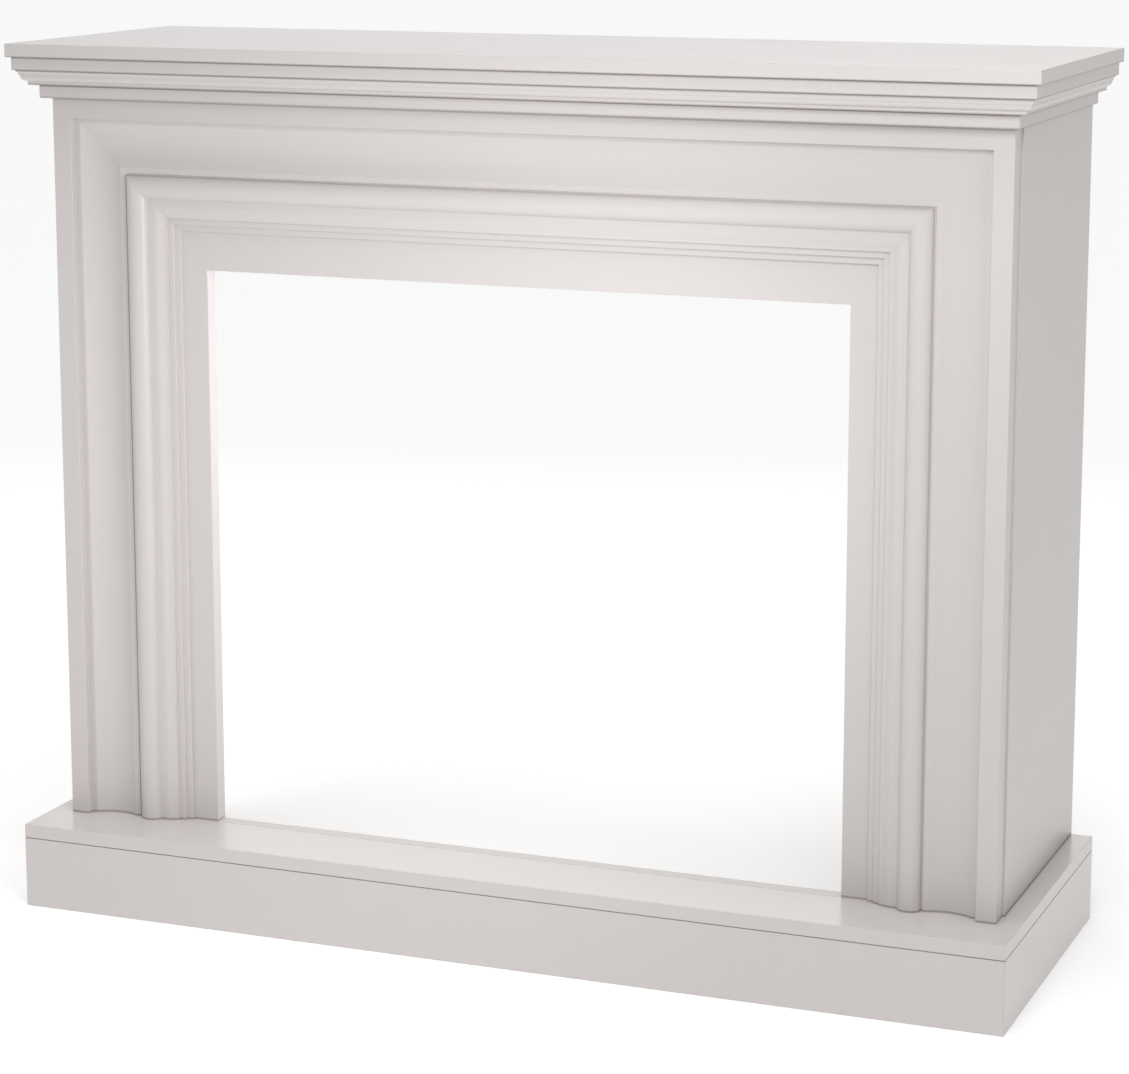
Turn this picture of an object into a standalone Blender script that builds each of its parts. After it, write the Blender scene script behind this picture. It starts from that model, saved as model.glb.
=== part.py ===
"""Fireplace mantelpiece: a painted surround with a moulded frame, a cornice and a hearth.

The front panel and two side panels make a body that is open behind. Three mitred
lengths of moulding frame the firebox opening, four boards make the cornice and
shelf, and a hearth board on a low plinth wraps the foot.

Metres, +Z up. The front faces -Y, and the origin is on the floor, under the
middle of the plinth's outline. Depths in the moulding are counted back from the
front of its outer band.
"""

from math import asin, atan2, cos, pi, sin, sqrt

import bmesh
import bpy
from mathutils import Vector

# Clearances between pieces, and the easing of sawn edges
GAP = 0.0003
MITRE_GAP = GAP * sqrt(2)
ARRIS = 0.0015
ARRIS_SEGMENTS = 2
MOULDING_ARRIS = 0.0008

# Body, and the plain band of the front panel that shows round the opening
BODY_WIDTH = 1.118
BODY_DEPTH = 0.319
BODY_TOP = 0.9384
SIDE_THICKNESS = 0.018
PANEL_THICKNESS = 0.018
SIDE_LANDING = 0.0306
HEAD_LANDING = 0.0443

# Base: how far the hearth stands out from the body at the sides and from the frame in front
PLINTH_HEIGHT = 0.082
PLINTH_THICKNESS = 0.016
HEARTH_THICKNESS = 0.016
HEARTH_SIDE = 0.0245
HEARTH_LEDGE = 0.065

# Moulded frame: how far it stands in from the side panels, and its section
FRAME_INSET = 0.002
FRAME_THICKNESS = 0.027
BAND_WIDTH = 0.0225
OUTER_FILLET_DEPTH = 0.0095
OUTER_FILLET_WIDTH = 0.0065
COVE_WIDTH = 0.049
COVE_SAG = 0.0062
INNER_FILLET_DEPTH = 0.013
INNER_FILLET_WIDTH = 0.00625
QUIRK_WIDTH = 0.002
QUIRK_DEPTH = 0.0018
BEAD_WIDTH = 0.02575
BEAD_HEIGHT = 0.010
FLAT_DEPTH = 0.0118
FLAT_WIDTH = 0.0080
OGEE_WIDTH = 0.0134
OGEE_DROP = 0.0037
STEP_WIDTH = 0.0073
STEP_DROP = 0.0038
STEP_COUNT = 3

# Cornice: how far the lowest board stands out, then what each board adds
NECK_SIDE = 0.006
NECK_FRONT = 0.016
NECK_THICKNESS = 0.015
BEARER_PROJECTION = 0.022
BEARER_THICKNESS = 0.0143
SHELF_LIP = 0.0052
SHELF_THICKNESS = 0.015

# Section of the crown board, as projections from the neck board and heights
CROWN_THICKNESS = 0.0168
CROWN_FOOT_PROJECTION = 0.0088
CROWN_FOOT_HEIGHT = 0.0046
CROWN_STEP = 0.0012
CROWN_OVOLO_WIDTH = 0.0050
CROWN_OVOLO_HEIGHT = 0.0062
CROWN_COVE_WIDTH = 0.0026
CROWN_COVE_HEIGHT = 0.0046

# Sides of the polygons that stand for curves
COVE_STEPS = 24
BEAD_STEPS = 24
OGEE_STEPS = 10
CROWN_STEPS = 6

# Finish: satin paint, a warm off-white, as linear colour
PAINT_COLOUR = (0.60, 0.567, 0.554)
PAINT_ROUGHNESS = 0.38

# Places that follow from the sizes
BASE_WIDTH = BODY_WIDTH + 2 * HEARTH_SIDE
BASE_DEPTH = HEARTH_LEDGE + FRAME_THICKNESS + BODY_DEPTH
BACK_Y = BASE_DEPTH / 2
FRAME_FRONT_Y = -BASE_DEPTH / 2 + HEARTH_LEDGE
PANEL_FRONT_Y = FRAME_FRONT_Y + FRAME_THICKNESS
HEARTH_TOP = PLINTH_HEIGHT + GAP + HEARTH_THICKNESS
FRAME_WIDTH = BODY_WIDTH - 2 * FRAME_INSET
NECK_WIDTH = BODY_WIDTH + 2 * NECK_SIDE
NECK_FRONT_Y = FRAME_FRONT_Y - NECK_FRONT

COLLECTION = "fireplace_mantelpiece"


def clear_scene():
    """Start from an empty scene."""
    for old in list(bpy.data.objects):
        bpy.data.objects.remove(old, do_unlink=True)


def new_collection(name):
    """A collection of the scene's own."""
    collection = bpy.data.collections.new(name)
    bpy.context.scene.collection.children.link(collection)
    return collection


def paint(name):
    """Satin off-white paint, one material for each piece."""
    material = bpy.data.materials.new(name + "_paint")
    material.use_nodes = True
    shader = material.node_tree.nodes["Principled BSDF"]
    shader.inputs["Base Color"].default_value = (*PAINT_COLOUR, 1.0)
    shader.inputs["Roughness"].default_value = PAINT_ROUGHNESS
    shader.inputs["Metallic"].default_value = 0.0
    return material


def add_piece(name, bm, location=(0.0, 0.0, 0.0)):
    """Turn a bmesh into a named, painted piece of the mantelpiece."""
    mesh = bpy.data.meshes.new(name)
    bm.to_mesh(mesh)
    bm.free()
    piece = bpy.data.objects.new(name, mesh)
    piece.location = location
    piece.data.materials.append(paint(name))
    parts.objects.link(piece)
    piece.parent = root
    return piece


def box_mesh(low, high):
    """A box between two corners, centred on its own origin, and where that origin goes."""
    low = Vector(low)
    high = Vector(high)
    bm = bmesh.new()
    bmesh.ops.create_cube(bm, size=1.0)
    bmesh.ops.scale(bm, vec=high - low, verts=bm.verts)
    return bm, (low + high) / 2


def ease_edges(piece):
    """Round a board's sawn edges."""
    bevel = piece.modifiers.new("eased edges", "BEVEL")
    bevel.width = ARRIS
    bevel.segments = ARRIS_SEGMENTS
    bevel.limit_method = "ANGLE"


def board(name, low, high):
    """A rectangular board between two corners."""
    bm, centre = box_mesh(low, high)
    piece = add_piece(name, bm, centre)
    ease_edges(piece)
    return piece


def cut_board(name, low, high, cut_low, cut_high):
    """A board with a rectangular hole or notch, its edges eased after the cut."""
    bm, centre = box_mesh(low, high)
    piece = add_piece(name, bm, centre)
    bm, centre = box_mesh(cut_low, cut_high)
    mesh = bpy.data.meshes.new(name + "_cutter")
    bm.to_mesh(mesh)
    bm.free()
    cutter = bpy.data.objects.new(name + "_cutter", mesh)
    cutter.location = centre
    cutter.hide_render = True
    cutter.display_type = "WIRE"
    cutters.objects.link(cutter)
    cut = piece.modifiers.new("cut", "BOOLEAN")
    cut.operation = "DIFFERENCE"
    cut.solver = "EXACT"
    cut.object = cutter
    ease_edges(piece)
    return piece


def loft(name, rings):
    """A closed solid through rings that have the same number of points."""
    bm = bmesh.new()
    loops = [[bm.verts.new(point) for point in ring] for ring in rings]
    bm.faces.new(loops[0])
    bm.faces.new(reversed(loops[-1]))
    for lower, upper in zip(loops, loops[1:]):
        for i in range(len(lower)):
            j = (i + 1) % len(lower)
            bm.faces.new((lower[i], lower[j], upper[j], upper[i]))
    bmesh.ops.recalc_face_normals(bm, faces=bm.faces)
    return add_piece(name, bm)


def bowed(start, end, sag, steps):
    """Points after start on the circular arc to end; a positive sag bows to the right."""
    chord = Vector(end) - Vector(start)
    radius = (chord.length**2 / 4 + sag**2) / (2 * abs(sag))
    side = 1 if sag > 0 else -1
    right = Vector((chord.y, -chord.x)).normalized() * side
    centre = (Vector(start) + Vector(end)) / 2 - right * (radius - abs(sag))
    middle = atan2(right.y, right.x)
    half = asin(chord.length / 2 / radius)
    turns = [middle + side * half * (2 * i / steps - 1) for i in range(1, steps + 1)]
    return [centre + Vector((cos(turn), sin(turn))) * radius for turn in turns]


def eased(points, radius):
    """An outline with its outward corners rounded; the material lies on its right."""
    rounded = [points[0]]
    for before, corner, after in zip(points, points[1:], points[2:]):
        back = before - corner
        ahead = after - corner
        outward = back.cross(ahead) < 0
        sharp = back.normalized().dot(ahead.normalized()) > -0.7
        if not (outward and sharp):
            rounded.append(corner)
            continue
        start = corner + back.normalized() * min(radius, back.length / 2)
        end = corner + ahead.normalized() * min(radius, ahead.length / 2)
        rounded.extend((start, (start + 2 * corner + end) / 4, end))
    rounded.append(points[-1])
    return rounded


def frame_section():
    """Section of the moulded frame: distance in from its outer edge, and depth."""
    points = [Vector((0.0, FRAME_THICKNESS)), Vector((0.0, 0.0)), Vector((BAND_WIDTH, 0.0))]

    def go(across, depth):
        points.append(Vector((points[-1].x + across, depth)))

    go(0.0, OUTER_FILLET_DEPTH)
    go(OUTER_FILLET_WIDTH, OUTER_FILLET_DEPTH)
    cove_end = (points[-1].x + COVE_WIDTH, INNER_FILLET_DEPTH)
    points.extend(bowed(points[-1], cove_end, -COVE_SAG, COVE_STEPS))
    go(INNER_FILLET_WIDTH, INNER_FILLET_DEPTH)
    go(0.0, INNER_FILLET_DEPTH + QUIRK_DEPTH)
    go(QUIRK_WIDTH, INNER_FILLET_DEPTH + QUIRK_DEPTH)

    # The bead is half an ellipse that stops where it meets the flat beside it
    bead_start = points[-1].x
    last_turn = asin((INNER_FILLET_DEPTH - FLAT_DEPTH) / BEAD_HEIGHT)
    for i in range(BEAD_STEPS + 1):
        turn = pi + (last_turn - pi) * i / BEAD_STEPS
        across = bead_start + BEAD_WIDTH / 2 * (1 + cos(turn))
        points.append(Vector((across, INNER_FILLET_DEPTH - BEAD_HEIGHT * sin(turn))))

    go(FLAT_WIDTH, FLAT_DEPTH)
    ogee_start = points[-1].x
    for i in range(1, OGEE_STEPS + 1):
        drop = OGEE_DROP * (1 - cos(pi * i / OGEE_STEPS)) / 2
        points.append(Vector((ogee_start + OGEE_WIDTH * i / OGEE_STEPS, FLAT_DEPTH + drop)))

    # Small steps lead down to the panel; the last riser ends on it
    depth = FLAT_DEPTH + OGEE_DROP
    for _ in range(STEP_COUNT - 1):
        depth += STEP_DROP
        go(0.0, depth)
        go(STEP_WIDTH, depth)
    go(0.0, FRAME_THICKNESS)
    return eased(points, MOULDING_ARRIS)


def crown_section():
    """Section of the crown board, from its foot up: projection and height."""
    points = [Vector((CROWN_FOOT_PROJECTION, 0.0)), Vector((CROWN_FOOT_PROJECTION, CROWN_FOOT_HEIGHT))]
    ovolo_start = points[-1] + Vector((CROWN_STEP, 0.0))
    points.append(ovolo_start)
    for i in range(1, CROWN_STEPS + 1):
        turn = pi / 2 * i / CROWN_STEPS
        swell = Vector((CROWN_OVOLO_WIDTH * sin(turn), CROWN_OVOLO_HEIGHT * (1 - cos(turn))))
        points.append(ovolo_start + swell)
    cove_start = points[-1] + Vector((CROWN_STEP, 0.0))
    points.append(cove_start)
    for i in range(1, CROWN_STEPS + 1):
        turn = pi / 2 * i / CROWN_STEPS
        hollow = Vector((CROWN_COVE_WIDTH * (1 - cos(turn)), CROWN_COVE_HEIGHT * sin(turn)))
        points.append(cove_start + hollow)
    points.append(Vector((points[-1].x, CROWN_THICKNESS)))
    return eased(points, MOULDING_ARRIS)


def make_base():
    """Hearth board that wraps the body on three sides, on mitred plinth boards."""
    half = BASE_WIDTH / 2
    front = -BASE_DEPTH / 2
    notch = BODY_WIDTH / 2 + GAP
    low = (-half, front, PLINTH_HEIGHT + GAP)
    high = (half, BACK_Y, HEARTH_TOP)
    beyond = PLINTH_HEIGHT
    cut_low = (-notch, PANEL_FRONT_Y - GAP, low[2] - beyond)
    cut_high = (notch, BACK_Y + beyond, HEARTH_TOP + beyond)
    cut_board("hearth_board", low, high, cut_low, cut_high)

    # Each plinth board is a rectangle across its thickness, cut at 45 degrees in front
    section = [(d, z) for d, z in ((0, 0), (1, 0), (1, 1), (0, 1))]
    section = [(d * PLINTH_THICKNESS, z * PLINTH_HEIGHT) for d, z in section]
    ends = [[(side * (half - d), front + d, z) for d, z in section] for side in (-1, 1)]
    loft("plinth_front", ends)
    for side, hand in ((-1, "left"), (1, "right")):
        mitred = [(side * (half - d), front + d + MITRE_GAP, z) for d, z in section]
        square = [(side * (half - d), BACK_Y, z) for d, z in section]
        loft("plinth_side_" + hand, [mitred, square])


def make_body():
    """Two side panels with the front panel between them, all standing on the floor."""
    half = BODY_WIDTH / 2
    for side, hand in ((-1, "left"), (1, "right")):
        edges = sorted((side * half, side * (half - SIDE_THICKNESS)))
        board("side_panel_" + hand, (edges[0], PANEL_FRONT_Y, 0.0), (edges[1], BACK_Y, BODY_TOP))
    inner = half - SIDE_THICKNESS - GAP
    back = PANEL_FRONT_Y + PANEL_THICKNESS
    beyond = PANEL_THICKNESS
    moulding_width = frame_section()[-1].x
    opening = FRAME_WIDTH / 2 - moulding_width - SIDE_LANDING
    opening_top = BODY_TOP - moulding_width - HEAD_LANDING
    cut_low = (-opening, PANEL_FRONT_Y - beyond, HEARTH_TOP)
    cut_high = (opening, back + beyond, opening_top)
    cut_board("front_panel", (-inner, PANEL_FRONT_Y, 0.0), (inner, back, BODY_TOP), cut_low, cut_high)


def make_frame():
    """The moulded frame: a head and two jambs of one section, mitred together."""
    section = frame_section()
    half = FRAME_WIDTH / 2
    depths = [FRAME_FRONT_Y - GAP + p.y for p in section]
    heads = [
        [(side * (half - p.x), y, BODY_TOP - p.x) for p, y in zip(section, depths)]
        for side in (-1, 1)
    ]
    loft("head_moulding", heads)
    for side, hand in ((-1, "left"), (1, "right")):
        foot = [(side * (half - p.x), y, HEARTH_TOP + GAP) for p, y in zip(section, depths)]
        mitre = [
            (side * (half - p.x), y, BODY_TOP - MITRE_GAP - p.x) for p, y in zip(section, depths)
        ]
        loft("jamb_moulding_" + hand, [foot, mitre])


def make_cornice():
    """Neck board, crown board, bearer and shelf, stacked on the body."""
    half = NECK_WIDTH / 2
    z = BODY_TOP + GAP
    board("neck_board", (-half, NECK_FRONT_Y, z), (half, BACK_Y, z + NECK_THICKNESS))
    z += NECK_THICKNESS + GAP

    # Every level of the crown board is a rectangle, stepped out on three sides
    rings = []
    for point in crown_section():
        wide = half + point.x
        front = NECK_FRONT_Y - point.x
        corners = ((-wide, front), (wide, front), (wide, BACK_Y), (-wide, BACK_Y))
        rings.append([(x, y, z + point.y) for x, y in corners])
    loft("crown_board", rings)
    z += CROWN_THICKNESS + GAP

    wide = half + BEARER_PROJECTION
    front = NECK_FRONT_Y - BEARER_PROJECTION
    board("bearer_board", (-wide, front, z), (wide, BACK_Y, z + BEARER_THICKNESS))
    z += BEARER_THICKNESS + GAP
    wide += SHELF_LIP
    front -= SHELF_LIP
    board("mantel_shelf", (-wide, front, z), (wide, BACK_Y, z + SHELF_THICKNESS))


clear_scene()
parts = new_collection(COLLECTION)
cutters = new_collection("cutters")
root = bpy.data.objects.new(COLLECTION, None)
parts.objects.link(root)
make_base()
make_body()
make_frame()
make_cornice()
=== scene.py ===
"""The look of the fireplace mantelpiece: fine mouldings, eased boards, satin paint and a studio.

Metres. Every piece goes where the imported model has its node, seen from the room with the
front facing -Y.
"""

from math import asin, atan2, cos, pi, radians, sin

import bmesh
import bpy
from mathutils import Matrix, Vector


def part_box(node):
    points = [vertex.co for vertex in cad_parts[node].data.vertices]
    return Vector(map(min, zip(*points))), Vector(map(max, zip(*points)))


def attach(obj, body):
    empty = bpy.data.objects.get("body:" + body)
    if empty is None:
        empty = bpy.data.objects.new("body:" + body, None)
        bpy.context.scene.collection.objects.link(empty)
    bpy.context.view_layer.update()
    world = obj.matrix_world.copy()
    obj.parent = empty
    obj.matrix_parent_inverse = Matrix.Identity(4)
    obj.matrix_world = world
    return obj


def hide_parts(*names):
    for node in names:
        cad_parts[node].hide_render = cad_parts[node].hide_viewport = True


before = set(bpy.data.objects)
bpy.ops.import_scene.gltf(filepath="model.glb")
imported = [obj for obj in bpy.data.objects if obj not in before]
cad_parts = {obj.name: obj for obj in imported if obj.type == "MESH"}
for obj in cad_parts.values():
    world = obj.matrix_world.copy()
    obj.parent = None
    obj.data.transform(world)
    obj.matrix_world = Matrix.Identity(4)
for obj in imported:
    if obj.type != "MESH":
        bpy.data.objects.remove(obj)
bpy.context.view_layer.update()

# Section of the moulded frame, the same sizes as in the model's source
FRAME_THICKNESS = 0.027
BAND_WIDTH = 0.0225
OUTER_FILLET_DEPTH = 0.0095
OUTER_FILLET_WIDTH = 0.0065
COVE_WIDTH = 0.049
COVE_SAG = 0.0062
INNER_FILLET_DEPTH = 0.013
INNER_FILLET_WIDTH = 0.00625
QUIRK_WIDTH = 0.002
QUIRK_DEPTH = 0.0018
BEAD_WIDTH = 0.02575
BEAD_HEIGHT = 0.010
FLAT_DEPTH = 0.0118
FLAT_WIDTH = 0.0080
OGEE_WIDTH = 0.0134
OGEE_DROP = 0.0037
STEP_WIDTH = 0.0073
STEP_DROP = 0.0038
STEP_COUNT = 3

# Section of the crown board, from the neck board's face outwards
CROWN_THICKNESS = 0.0168
CROWN_FOOT_PROJECTION = 0.0088
CROWN_FOOT_HEIGHT = 0.0046
CROWN_STEP = 0.0012
CROWN_OVOLO_WIDTH = 0.0050
CROWN_OVOLO_HEIGHT = 0.0062
CROWN_COVE_WIDTH = 0.0026
CROWN_COVE_HEIGHT = 0.0046

# The plain band of the front panel round the opening
SIDE_LANDING = 0.0306
HEAD_LANDING = 0.0443

# How the paint softens the edges: sharp corners of mouldings, hollow corners, sawn boards
MOULDING_ARRIS = 0.0008
PAINT_FILL = 0.0002
CROWN_ARRIS = 0.0005
CROWN_FILL = 0.0003
BOARD_ARRIS = 0.0007
NECK_ARRIS = 0.0018
SIDE_ARRIS = 0.0006
PANEL_ARRIS = 0.0008
PLINTH_ARRIS = 0.0007
ARRIS_SEGMENTS = 4
CORNER_STEPS = 5

# Clearance between boards, and the hair's width that paint leaves open at a joint
GAP = 0.0003
HAIRLINE = 0.00003

# Steps of each curve, the turn that counts as an edge, and how square on a hidden face lies
COVE_STEPS = 48
BEAD_STEPS = 48
OGEE_STEPS = 20
CROWN_STEPS = 12
SHARP_TURN = radians(32)
STRAIGHT_ENOUGH = -0.9
SQUARE_ON = 0.9

# Colours
PAINT = (0.60, 0.567, 0.554)
FIRST_COAT = (0.57, 0.53, 0.50)
BARE_FIBRE = (0.42, 0.33, 0.25)
DUST = (0.6, 0.55, 0.5)
# Painted shade: the colour and strength of the shadow lines painted under overhanging boards
PAINTED_SHADOW_COLOUR = (0.20, 0.17, 0.16)
PAINTED_SHADOW_STRENGTH = 0.6

# Painted shade: thin dark lines painted into the colour just under each overhanging board, where
# its shadow falls: height and half width. The last is at the body's foot, clear of the hearth's
# upper face
PAINTED_SHADOW_LINES = [
    (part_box("bearer_board")[1].z, 0.0020),
    (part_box("crown_board")[1].z, 0.0018),
    (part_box("neck_board")[1].z, 0.0022),
    (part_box("head_moulding")[1].z, 0.0028),
    (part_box("plinth_front")[1].z, 0.0009),
    (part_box("hearth_board")[1].z + 0.0014, 0.0012),
]

# Studio: the floor, and the camera that sees the part as the photograph does
FLOOR_HALF = 70.0
FLOOR_DROP = 0.0002
SENSOR_WIDTH = 36.0
PHOTO_WIDTH = 1129
FOCAL_PIXELS = 3259.04
CAMERA_PITCH = radians(90 - 10.516)
CAMERA_TURN = radians(21.569)


class Value:
    """A socket of one number. Sums on it add the Math nodes that they stand for."""

    def __init__(self, finish, socket):
        self.finish = finish
        self.socket = socket

    def maths(self, operation, first, second):
        settings = {"operation": operation}
        return self.finish.node("ShaderNodeMath", settings, {0: first, 1: second})

    def __add__(self, other):
        return self.maths("ADD", self, other)

    __radd__ = __add__

    def __sub__(self, other):
        return self.maths("SUBTRACT", self, other)

    def __rsub__(self, other):
        return self.maths("SUBTRACT", other, self)

    def __mul__(self, other):
        return self.maths("MULTIPLY", self, other)

    __rmul__ = __mul__


class Finish:
    """A material and the nodes that give it its surface."""

    def __init__(self, name):
        self.material = bpy.data.materials.new(name)
        self.material.use_nodes = True
        self.tree = self.material.node_tree
        self.shader = self.tree.nodes["Principled BSDF"]

    def node(self, kind, settings, values, output=0):
        """Add a node: its settings first, then its sockets' values or links."""
        node = self.tree.nodes.new(kind)
        for name, setting in settings.items():
            setattr(node, name, setting)
        for name, value in values.items():
            self.feed(node.inputs[name], value)
        return Value(self, node.outputs[output])

    def feed(self, socket, value):
        """Link a value to a socket, or set a plain number or colour on it."""
        if isinstance(value, Value):
            self.tree.links.new(value.socket, socket)
        elif isinstance(value, tuple) and len(value) == 3 and socket.type == "RGBA":
            socket.default_value = (*value, 1.0)
        else:
            socket.default_value = value

    def blend(self, factor, first, second):
        """A colour between two others."""
        settings = {"data_type": "RGBA", "clamp_factor": True}
        return self.node("ShaderNodeMix", settings, {"Factor": factor, 6: first, 7: second}, 2)

    def noise(self, place, scale, detail, stretch=None):
        """Soft random cloud from 0 to 1, with so many waves to the metre."""
        if stretch:
            settings = {"operation": "MULTIPLY"}
            place = self.node("ShaderNodeVectorMath", settings, {0: place, 1: stretch})
        values = {"Vector": place, "Scale": scale, "Detail": detail, "Roughness": 0.55}
        return self.node("ShaderNodeTexNoise", {}, values, "Fac")

    def narrowed(self, value, low, high):
        """The part of a cloud between two levels, spread over 0 to 1."""
        values = {"Value": value, "From Min": low, "From Max": high}
        return self.node("ShaderNodeMapRange", {"clamp": True}, values)


def shade_of(colour, by):
    """A colour made lighter or darker."""
    return tuple(min(1.0, part * by) for part in colour)


def satin_paint(name, colour, roughness, peel_height):
    """Sprayed satin paint: clouds of thicker and thinner coat, orange peel, dust specks, and
    painted shade in thin lines under the overhanging boards.
    """
    finish = Finish(name)
    place = finish.node("ShaderNodeTexCoord", {}, {}, "Object")
    clouds = finish.narrowed(finish.noise(place, 7.0, 3.0), 0.32, 0.68)
    mottle = finish.narrowed(finish.noise(place, 85.0, 4.0), 0.3, 0.7)
    peel = finish.noise(place, 420.0, 2.0)
    grain = finish.noise(place, 1100.0, 2.0)
    waves = finish.noise(place, 16.0, 1.0)
    cells = {"Vector": place, "Scale": 55.0, "Randomness": 1.0}
    cell = finish.node("ShaderNodeTexVoronoi", {"feature": "F1"}, cells, "Distance")
    specks = finish.narrowed(cell, 0.016, 0.008) * finish.narrowed(mottle, 0.62, 0.7)

    # The colour moves by about a hundredth, as a sprayed coat does, and is painted darker in thin
    # lines where shadow falls under the overhanging boards
    tone = clouds * 0.4 + mottle * 0.25 + grain * 0.35
    body = finish.blend(tone, shade_of(colour, 0.988), shade_of(colour, 1.01))
    level_here = finish.node("ShaderNodeSeparateXYZ", {}, {"Vector": place}, "Z")
    # Painted shade: a dark line is painted along each level where an overhanging board casts its
    # shadow
    for level, width in PAINTED_SHADOW_LINES:
        away = finish.node("ShaderNodeMath", {"operation": "ABSOLUTE"}, {0: level_here - level})
        painted_shadow = finish.narrowed(away, width, width * 0.4) * PAINTED_SHADOW_STRENGTH
        body = finish.blend(painted_shadow, body, PAINTED_SHADOW_COLOUR)
    finish.feed(finish.shader.inputs["Base Color"], finish.blend(specks * 0.1, body, DUST))
    sheen = roughness - 0.03 + clouds * 0.03 + mottle * 0.01 + grain * 0.02
    finish.feed(finish.shader.inputs["Roughness"], sheen)
    finish.shader.inputs["IOR"].default_value = 1.48
    height = peel * 0.7 + grain * 0.3 + waves * 3.0 + specks * 0.2
    relief = {"Height": height, "Strength": 1.0, "Distance": peel_height}
    bumped = finish.node("ShaderNodeBump", {}, relief)
    finish.feed(finish.shader.inputs["Normal"], bumped)
    return finish.material


def first_coat(name, colour, roughness, along):
    """One thin coat on hidden faces, where the fibres of the board show through."""
    finish = Finish(name)
    place = finish.node("ShaderNodeTexCoord", {}, {}, "Object")
    clouds = finish.narrowed(finish.noise(place, 9.0, 3.0), 0.3, 0.7)
    fibres = finish.noise(place, 900.0, 3.0, stretch=along)
    specks = finish.narrowed(finish.noise(place, 620.0, 2.0), 0.6, 0.72)
    tone = clouds * 0.45 + fibres * 0.55
    body = finish.blend(tone, shade_of(colour, 0.9), shade_of(colour, 1.07))
    finish.feed(finish.shader.inputs["Base Color"], finish.blend(specks * 0.16, body, BARE_FIBRE))
    finish.feed(finish.shader.inputs["Roughness"], roughness + clouds * 0.08 + fibres * 0.1)
    relief = {"Height": fibres + specks * 0.4, "Strength": 1.0, "Distance": 0.00012}
    finish.feed(finish.shader.inputs["Normal"], finish.node("ShaderNodeBump", {}, relief))
    return finish.material


board_paint = satin_paint("board_paint", PAINT, 0.36, 0.00002)
moulding_paint = satin_paint("moulding_paint", PAINT, 0.34, 0.00002)
hearth_paint = satin_paint("hearth_paint", PAINT, 0.24, 0.00002)
upright_first_coat = first_coat("upright_first_coat", FIRST_COAT, 0.56, (1.0, 1.0, 0.12))
level_first_coat = first_coat("level_first_coat", FIRST_COAT, 0.56, (0.12, 1.0, 1.0))


def finish_piece(piece, node, paint, hidden_paint, hidden):
    """Paint a piece, give its hidden faces one coat, and let it stand for its node."""
    piece.data.materials.append(paint)
    piece.data.materials.append(hidden_paint)
    for face in piece.data.polygons:
        if any(face.normal.dot(Vector(way)) > SQUARE_ON for way in hidden):
            face.material_index = 1
    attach(piece, "root")
    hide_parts(node)
    return piece


def new_piece(name, bm):
    """Turn a bmesh into an object of the scene."""
    bmesh.ops.recalc_face_normals(bm, faces=bm.faces)
    mesh = bpy.data.meshes.new(name)
    bm.to_mesh(mesh)
    bm.free()
    piece = bpy.data.objects.new(name, mesh)
    bpy.context.scene.collection.objects.link(piece)
    return piece


def ease(piece, width):
    """Round a board's edges softly and keep its faces flat."""
    piece.data.shade_smooth()
    bevel = piece.modifiers.new("eased edges", "BEVEL")
    bevel.width = width
    bevel.segments = ARRIS_SEGMENTS
    bevel.limit_method = "ANGLE"
    bevel.harden_normals = True


def slab(outline, low, high):
    """A board of any outline in plan, between two heights."""
    bm = bmesh.new()
    rings = [[bm.verts.new((x, y, level)) for x, y in outline] for level in (low, high)]
    bm.faces.new(rings[0])
    bm.faces.new(reversed(rings[1]))
    for i in range(len(outline)):
        j = (i + 1) % len(outline)
        bm.faces.new((rings[0][i], rings[0][j], rings[1][j], rings[1][i]))
    return bm


def board(node, paint, hidden_paint, hidden, arris):
    """A plain board with eased edges, where the model has it."""
    low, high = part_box(node)
    outline = [(low.x, low.y), (high.x, low.y), (high.x, high.y), (low.x, high.y)]
    piece = new_piece("painted_" + node, slab(outline, low.z, high.z))
    ease(piece, arris)
    return finish_piece(piece, node, paint, hidden_paint, hidden)


def loft(name, rings):
    """A closed skin through rings of points, smooth but for its ends and square corners."""
    bm = bmesh.new()
    loops = [[bm.verts.new(point) for point in ring] for ring in rings]
    for loop in (loops[0], loops[-1]):
        bm.faces.new(loop)
    for lower, upper in zip(loops, loops[1:]):
        for i in range(len(lower)):
            j = (i + 1) % len(lower)
            bm.faces.new((lower[i], lower[j], upper[j], upper[i]))
    bmesh.ops.recalc_face_normals(bm, faces=bm.faces)
    for face in bm.faces:
        face.smooth = True
    for edge in bm.edges:
        edge.smooth = edge.calc_face_angle() < SHARP_TURN
    piece = new_piece(name, bm)
    weighted = piece.modifiers.new("flats stay flat", "WEIGHTED_NORMAL")
    weighted.keep_sharp = True
    weighted.weight = 80
    return piece


def softened(points, outward, inward):
    """A section with its corners rounded; the material lies on its right."""
    soft = [points[0]]
    for before, corner, after in zip(points, points[1:], points[2:]):
        back = before - corner
        ahead = after - corner
        if back.normalized().dot(ahead.normalized()) < STRAIGHT_ENOUGH:
            soft.append(corner)
            continue
        radius = outward if back.cross(ahead) < 0 else inward
        start = corner + back.normalized() * min(radius, back.length * 0.45)
        end = corner + ahead.normalized() * min(radius, ahead.length * 0.45)
        for i in range(CORNER_STEPS + 1):
            t = i / CORNER_STEPS
            soft.append(start * (1 - t) ** 2 + corner * 2 * t * (1 - t) + end * t**2)
    soft.append(points[-1])
    return soft


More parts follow.
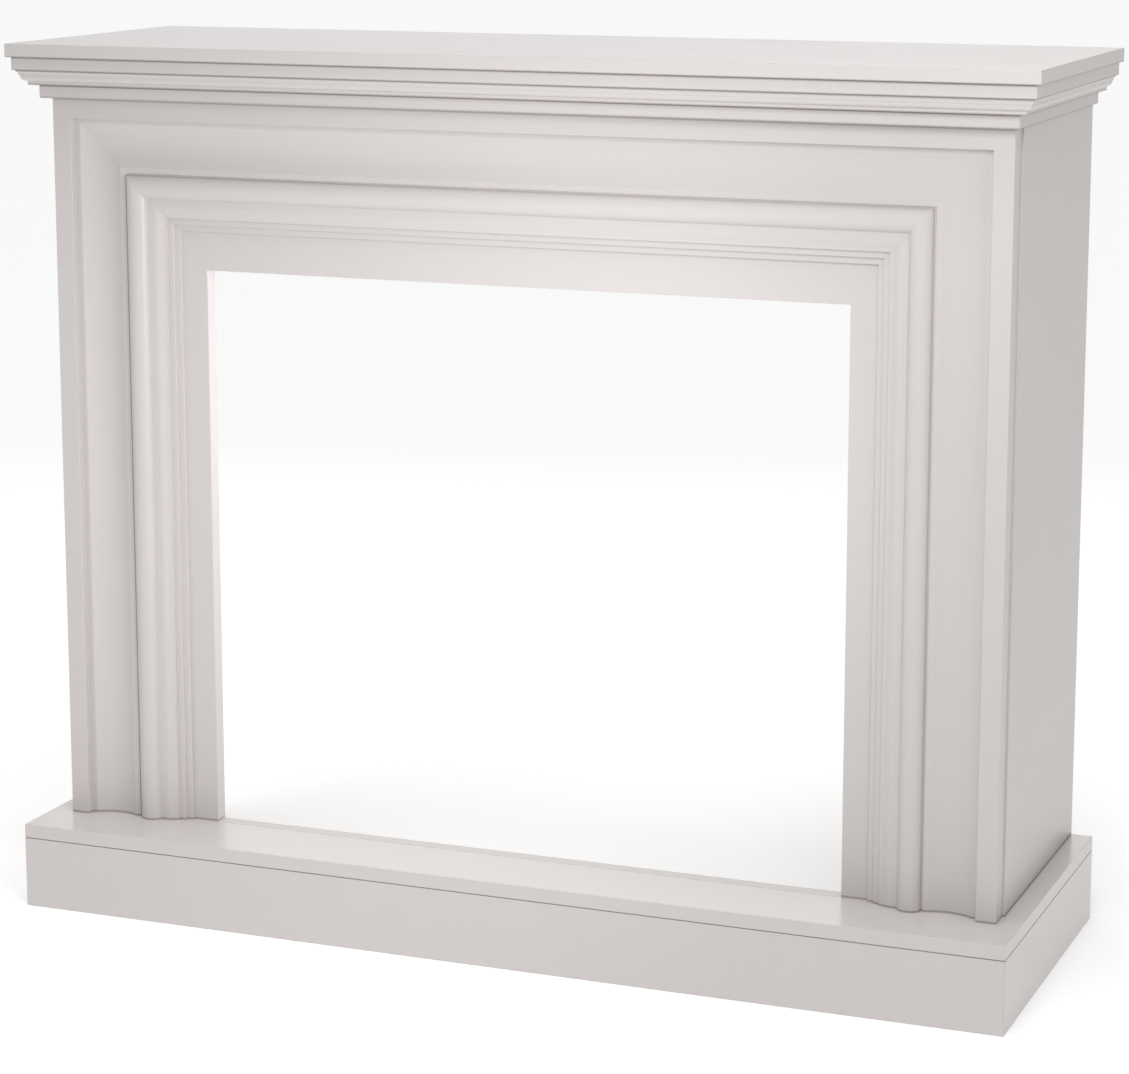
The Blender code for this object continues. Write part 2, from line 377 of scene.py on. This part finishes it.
def bowed(start, end, sag, steps):
    """Points after start on the circular arc to end; a positive sag bows to the right."""
    chord = Vector(end) - Vector(start)
    radius = (chord.length**2 / 4 + sag**2) / (2 * abs(sag))
    side = 1 if sag > 0 else -1
    right = Vector((chord.y, -chord.x)).normalized() * side
    centre = (Vector(start) + Vector(end)) / 2 - right * (radius - abs(sag))
    middle = atan2(right.y, right.x)
    half = asin(chord.length / 2 / radius)
    turns = [middle + side * half * (2 * i / steps - 1) for i in range(1, steps + 1)]
    return [centre + Vector((cos(turn), sin(turn))) * radius for turn in turns]


def frame_section():
    """Section of the moulded frame: distance in from its outer edge, and depth."""
    points = [Vector((0.0, FRAME_THICKNESS)), Vector((0.0, 0.0)), Vector((BAND_WIDTH, 0.0))]

    def go(across, depth):
        points.append(Vector((points[-1].x + across, depth)))

    go(0.0, OUTER_FILLET_DEPTH)
    go(OUTER_FILLET_WIDTH, OUTER_FILLET_DEPTH)
    cove_end = (points[-1].x + COVE_WIDTH, INNER_FILLET_DEPTH)
    points.extend(bowed(points[-1], cove_end, -COVE_SAG, COVE_STEPS))
    go(INNER_FILLET_WIDTH, INNER_FILLET_DEPTH)
    go(0.0, INNER_FILLET_DEPTH + QUIRK_DEPTH)
    go(QUIRK_WIDTH, INNER_FILLET_DEPTH + QUIRK_DEPTH)

    # The bead is half an ellipse that stops where it meets the flat beside it
    bead_start = points[-1].x
    last_turn = asin((INNER_FILLET_DEPTH - FLAT_DEPTH) / BEAD_HEIGHT)
    for i in range(BEAD_STEPS + 1):
        turn = pi + (last_turn - pi) * i / BEAD_STEPS
        across = bead_start + BEAD_WIDTH / 2 * (1 + cos(turn))
        points.append(Vector((across, INNER_FILLET_DEPTH - BEAD_HEIGHT * sin(turn))))

    go(FLAT_WIDTH, FLAT_DEPTH)
    ogee_start = points[-1].x
    for i in range(1, OGEE_STEPS + 1):
        drop = OGEE_DROP * (1 - cos(pi * i / OGEE_STEPS)) / 2
        points.append(Vector((ogee_start + OGEE_WIDTH * i / OGEE_STEPS, FLAT_DEPTH + drop)))

    depth = FLAT_DEPTH + OGEE_DROP
    for _ in range(STEP_COUNT - 1):
        depth += STEP_DROP
        go(0.0, depth)
        go(STEP_WIDTH, depth)
    go(0.0, FRAME_THICKNESS)
    return softened(points, MOULDING_ARRIS, PAINT_FILL)


def crown_section():
    """Section of the crown board, from its foot up: projection and height."""
    foot = CROWN_FOOT_PROJECTION
    points = [Vector((foot, 0.0)), Vector((foot, CROWN_FOOT_HEIGHT))]
    ovolo_start = points[-1] + Vector((CROWN_STEP, 0.0))
    points.append(ovolo_start)
    for i in range(1, CROWN_STEPS + 1):
        turn = pi / 2 * i / CROWN_STEPS
        swell = Vector((CROWN_OVOLO_WIDTH * sin(turn), CROWN_OVOLO_HEIGHT * (1 - cos(turn))))
        points.append(ovolo_start + swell)
    cove_start = points[-1] + Vector((CROWN_STEP, 0.0))
    points.append(cove_start)
    for i in range(1, CROWN_STEPS + 1):
        turn = pi / 2 * i / CROWN_STEPS
        hollow = Vector((CROWN_COVE_WIDTH * (1 - cos(turn)), CROWN_COVE_HEIGHT * sin(turn)))
        points.append(cove_start + hollow)
    points.append(Vector((points[-1].x, CROWN_THICKNESS)))
    return softened(points, CROWN_ARRIS, CROWN_FILL)


def make_frame():
    """Head and jambs, swept from one section; paint closes the mitres and the back edge."""
    section = frame_section()
    low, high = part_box("head_moulding")
    half = high.x
    panel_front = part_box("front_panel")[0].y - HAIRLINE
    depths = [min(low.y + point.y, panel_front) for point in section]
    depths[0] = depths[-1] = panel_front
    ends = [
        [(side * (half - p.x), y, high.z - p.x) for p, y in zip(section, depths)]
        for side in (-1, 1)
    ]
    pieces = [("head_moulding", ends, level_first_coat)]
    for side, node in ((-1, "jamb_moulding_left"), (1, "jamb_moulding_right")):
        foot_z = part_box(node)[0].z
        top = high.z - HAIRLINE
        foot = [(side * (half - p.x), y, foot_z) for p, y in zip(section, depths)]
        mitre = [(side * (half - p.x), y, top - p.x) for p, y in zip(section, depths)]
        pieces.append((node, [foot, mitre], upright_first_coat))
    for node, rings, hidden_paint in pieces:
        piece = loft("painted_" + node, rings)
        finish_piece(piece, node, moulding_paint, hidden_paint, [(0, 1, 0)])
    return section[-1].x


def make_crown():
    """The crown board, stepped out on three sides from the neck board below it."""
    neck_low, neck_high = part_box("neck_board")
    low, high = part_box("crown_board")
    rings = []
    for point in crown_section():
        wide = neck_high.x + point.x
        front = neck_low.y - point.x
        corners = ((-wide, front), (wide, front), (wide, high.y), (-wide, high.y))
        rings.append([(x, y, low.z + point.y) for x, y in corners])
    piece = loft("painted_crown_board", rings)
    hidden = [(0, 1, 0)]
    finish_piece(piece, "crown_board", moulding_paint, level_first_coat, hidden)


def make_front_panel(moulding_width):
    """The board behind the moulding, with the firebox opening cut through it."""
    low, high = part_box("front_panel")
    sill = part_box("hearth_board")[1].z
    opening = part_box("head_moulding")[1].x - moulding_width - SIDE_LANDING
    head = high.z - moulding_width - HEAD_LANDING
    columns = [low.x, -opening, opening, high.x]
    rows = [low.z, sill, head, high.z]
    bm = bmesh.new()
    grid = {
        (i, j): bm.verts.new((x, low.y, z))
        for i, x in enumerate(columns)
        for j, z in enumerate(rows)
    }
    front = [
        bm.faces.new((grid[i, j], grid[i + 1, j], grid[i + 1, j + 1], grid[i, j + 1]))
        for i in range(3)
        for j in range(3)
        if (i, j) != (1, 1)
    ]
    grown = bmesh.ops.extrude_face_region(bm, geom=front, use_keep_orig=True)
    moved = [part for part in grown["geom"] if isinstance(part, bmesh.types.BMVert)]
    bmesh.ops.translate(bm, vec=(0.0, high.y - low.y, 0.0), verts=moved)
    piece = new_piece("painted_front_panel", bm)
    ease(piece, PANEL_ARRIS)
    hidden = [(0, 1, 0)]
    finish_piece(piece, "front_panel", board_paint, upright_first_coat, hidden)


def make_hearth():
    """The hearth board round the body, and the mitred plinth boards under it."""
    low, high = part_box("hearth_board")
    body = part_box("side_panel_right")[1].x + GAP
    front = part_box("front_panel")[0].y - GAP
    outline = [(low.x, low.y), (high.x, low.y), (high.x, high.y), (body, high.y)]
    outline += [(body, front), (-body, front), (-body, high.y), (low.x, high.y)]
    piece = new_piece("painted_hearth_board", slab(outline, low.z, high.z))
    ease(piece, BOARD_ARRIS)
    hidden = [(0, 0, -1), (0, 1, 0)]
    finish_piece(piece, "hearth_board", hearth_paint, level_first_coat, hidden)

    low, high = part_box("plinth_front")
    thick = high.y - low.y
    outline = [(low.x, low.y), (high.x, low.y), (high.x - thick, high.y), (low.x + thick, high.y)]
    outlines = {"plinth_front": outline}
    for side, node in ((-1, "plinth_side_left"), (1, "plinth_side_right")):
        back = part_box(node)[1].y
        outer = side * high.x
        inner = outer - side * thick
        mitre = low.y + HAIRLINE
        outlines[node] = [(outer, mitre), (outer, back), (inner, back), (inner, mitre + thick)]
    inward = {
        "plinth_front": (0, 1, 0),
        "plinth_side_left": (1, 0, 0),
        "plinth_side_right": (-1, 0, 0),
    }
    for node, outline in outlines.items():
        piece = new_piece("painted_" + node, slab(outline, low.z, high.z))
        ease(piece, PLINTH_ARRIS)
        hidden = [(0, 1, 0), (0, 0, -1), inward[node]]
        finish_piece(piece, node, hearth_paint, level_first_coat, hidden)


def make_boards():
    """Side panels and the plain boards of the cornice."""
    for node, inward in (("side_panel_left", (1, 0, 0)), ("side_panel_right", (-1, 0, 0))):
        hidden = [inward, (0, 1, 0), (0, 0, -1)]
        board(node, board_paint, upright_first_coat, hidden, SIDE_ARRIS)
    arrises = {"neck_board": NECK_ARRIS, "bearer_board": BOARD_ARRIS, "mantel_shelf": BOARD_ARRIS}
    for node, arris in arrises.items():
        board(node, board_paint, level_first_coat, [(0, 1, 0)], arris)


def soft_light(name, place, aim, width, height, power, spread):
    """A soft box that points at a place."""
    lamp = bpy.data.lights.new(name, "AREA")
    lamp.shape = "RECTANGLE"
    lamp.size = width
    lamp.size_y = height
    lamp.energy = power
    lamp.spread = radians(spread)
    light = bpy.data.objects.new(name, lamp)
    light.location = place
    light.rotation_euler = (Vector(aim) - Vector(place)).to_track_quat("-Z", "Y").to_euler()
    light.visible_camera = False
    bpy.context.scene.collection.objects.link(light)


def make_studio():
    """A pale floor, light from above, in front, behind and through the opening, and the camera."""
    bm = bmesh.new()
    bmesh.ops.create_grid(bm, x_segments=1, y_segments=1, size=FLOOR_HALF)
    floor = new_piece("studio_floor", bm)
    finish = Finish("pale_floor")
    finish.shader.inputs["Base Color"].default_value = (0.93, 0.93, 0.93, 1.0)
    finish.shader.inputs["Roughness"].default_value = 0.9
    finish.shader.inputs["Emission Color"].default_value = (1.0, 1.0, 1.0, 1.0)
    finish.shader.inputs["Emission Strength"].default_value = 0.19
    floor.data.materials.append(finish.material)
    floor.location.z = -FLOOR_DROP

    world = bpy.data.worlds.new("studio")
    world.use_nodes = True
    background = world.node_tree.nodes["Background"]
    background.inputs["Color"].default_value = (1.0, 1.0, 1.0, 1.0)
    background.inputs["Strength"].default_value = 0.43
    scene = bpy.context.scene
    scene.world = world
    scene.view_settings.view_transform = "Standard"

    ceiling = bpy.data.lights.new("ceiling_light", "SUN")
    ceiling.energy = 1.28
    ceiling.angle = radians(40)
    above = bpy.data.objects.new("ceiling_light", ceiling)
    above.rotation_euler = (radians(12), 0.0, 0.0)
    scene.collection.objects.link(above)
    soft_light("key_light", (0.62, -1.15, 1.35), (0.5, -0.1, 0.75), 0.5, 0.6, 3.1, 120)
    soft_light("side_light", (0.52, -0.7, 0.75), (-0.5, -0.13, 0.5), 0.4, 0.5, 1.3, 90)
    soft_light("opening_light", (0.42, 0.8, 0.5), (-0.38, -0.1, 0.45), 0.4, 0.4, 1.0, 80)
    soft_light("back_light", (-0.9, 3.0, 1.4), (-0.1, 0.0, 0.9), 3.0, 1.6, 7.0, 120)

    camera = bpy.data.cameras.new("camera")
    camera.sensor_width = SENSOR_WIDTH
    camera.lens = FOCAL_PIXELS * SENSOR_WIDTH / PHOTO_WIDTH
    camera.shift_y = -0.08
    camera.clip_end = 200.0
    seat = bpy.data.objects.new("camera", camera)
    seat.location = (1.34397, -3.37119, 1.22333)
    seat.rotation_euler = (CAMERA_PITCH, 0.0, CAMERA_TURN)
    scene.collection.objects.link(seat)
    scene.camera = seat


make_boards()
make_crown()
make_front_panel(make_frame())
make_hearth()
make_studio()
